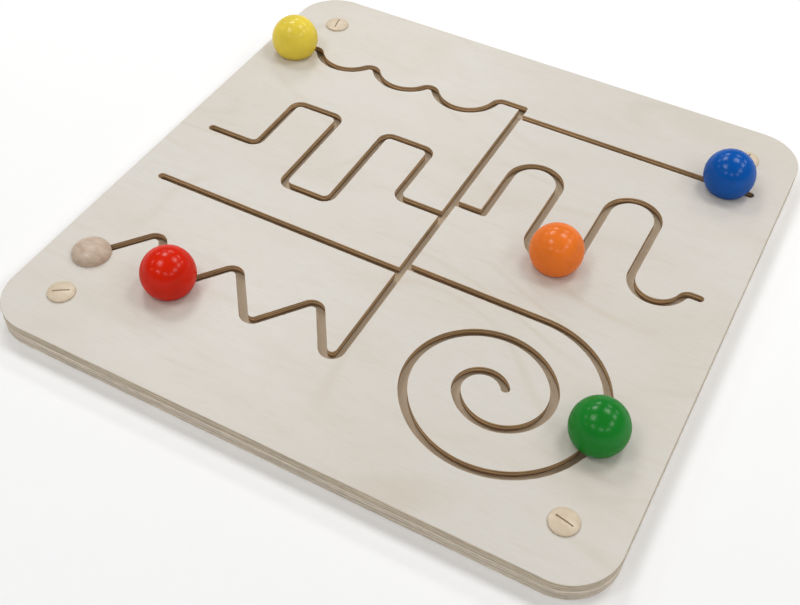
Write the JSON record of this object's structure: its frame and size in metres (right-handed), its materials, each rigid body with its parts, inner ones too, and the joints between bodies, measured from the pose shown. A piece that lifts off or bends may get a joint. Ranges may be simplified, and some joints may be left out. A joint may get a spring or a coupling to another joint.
{
  "type": "captive bead maze panel",
  "caption": "Square birch plywood maze board with wave, square, zigzag, sine and spiral slots, and painted wooden balls that slide along them on captive stems.",
  "frame": {"origin": "under the middle of the board, on its flat back face", "axes": "+Z out of the slotted front face, +X to the right along the near edge, +Y away from the near edge"},
  "size_m": [0.575, 0.575, 0.0618],
  "materials": {
    "birch_ply": "pale birch veneer under a thin matt clear lacquer, ply layers on the edges",
    "birch_ply_back": "unlacquered birch veneer, ply layers on the edges",
    "beech": "natural beech, lightly lacquered",
    "maple": "natural pale maple, satin",
    "nylon": "natural nylon",
    "steel": "zinc-plated steel",
    "yellow_paint": "glossy yellow paint on turned wood",
    "blue_paint": "glossy blue paint on turned wood",
    "orange_paint": "glossy orange paint on turned wood",
    "red_paint": "glossy red paint on turned wood",
    "green_paint": "glossy green paint on turned wood"
  },
  "bodies": {
    "board": {"front_panel": "birch_ply", "back_panel": "birch_ply_back", "entry_plug": "beech", "cap_front_left": "maple", "cap_front_right": "maple", "cap_back_left": "maple", "cap_back_right": "maple", "back_screw_01": "steel", "back_screw_02": "steel", "back_screw_03": "steel", "back_screw_04": "steel", "back_screw_05": "steel", "back_screw_06": "steel", "back_screw_07": "steel", "back_screw_08": "steel", "back_screw_09": "steel", "back_screw_10": "steel", "back_screw_11": "steel", "back_screw_12": "steel"},
    "yellow_glide": {"yellow_disc": "nylon"},
    "yellow_bead": {"yellow_ball": "yellow_paint", "yellow_stem": "steel", "yellow_screw": "steel"},
    "blue_glide": {"blue_disc": "nylon"},
    "blue_bead": {"blue_ball": "blue_paint", "blue_stem": "steel", "blue_screw": "steel"},
    "orange_glide": {"orange_disc": "nylon"},
    "orange_bead": {"orange_ball": "orange_paint", "orange_stem": "steel", "orange_screw": "steel"},
    "red_glide": {"red_disc": "nylon"},
    "red_bead": {"red_ball": "red_paint", "red_stem": "steel", "red_screw": "steel"},
    "green_glide": {"green_disc": "nylon"},
    "green_bead": {"green_ball": "green_paint", "green_stem": "steel", "green_screw": "steel"}
  },
  "joints": [
    {"name": "yellow_travel", "type": "hinge", "parent": "board", "child": "yellow_glide", "pos_m": [-0.26961, 0.2035, 0.021], "axis": [0, 0, 1], "range_deg": [-3, 25.5]},
    {"name": "blue_travel", "type": "slide", "parent": "board", "child": "blue_glide", "axis": [1, 0, 0], "range_m": [-0.2219, 0.0242]},
    {"name": "orange_travel", "type": "hinge", "parent": "board", "child": "orange_glide", "pos_m": [0.11645, 0.0332, 0.021], "axis": [0, 0, 1], "range_deg": [-111, 68.5]},
    {"name": "red_travel", "type": "slide", "parent": "board", "child": "red_glide", "axis": [0.6051, 0.7962, 0], "range_m": [0, 0.052]},
    {"name": "green_travel", "type": "hinge", "parent": "board", "child": "green_glide", "pos_m": [0.147, -0.1446, 0.021], "axis": [0, 0, 1], "range_deg": [-140, 96.5]},
    {"name": "yellow_spin", "type": "hinge", "parent": "yellow_glide", "child": "yellow_bead", "pos_m": [-0.25224, 0.17254, 0.021], "axis": [0, 0, 1], "continuous": true},
    {"name": "blue_spin", "type": "hinge", "parent": "blue_glide", "child": "blue_bead", "pos_m": [0.2314, 0.1882, 0.021], "axis": [0, 0, 1], "continuous": true},
    {"name": "orange_spin", "type": "hinge", "parent": "orange_glide", "child": "orange_bead", "pos_m": [0.12559, 0.00977, 0.021], "axis": [0, 0, 1], "continuous": true},
    {"name": "red_spin", "type": "hinge", "parent": "red_glide", "child": "red_bead", "pos_m": [-0.1598, -0.1839, 0.021], "axis": [0, 0, 1], "continuous": true},
    {"name": "green_spin", "type": "hinge", "parent": "green_glide", "child": "green_bead", "pos_m": [0.23082, -0.15445, 0.021], "axis": [0, 0, 1], "continuous": true}
  ]
}
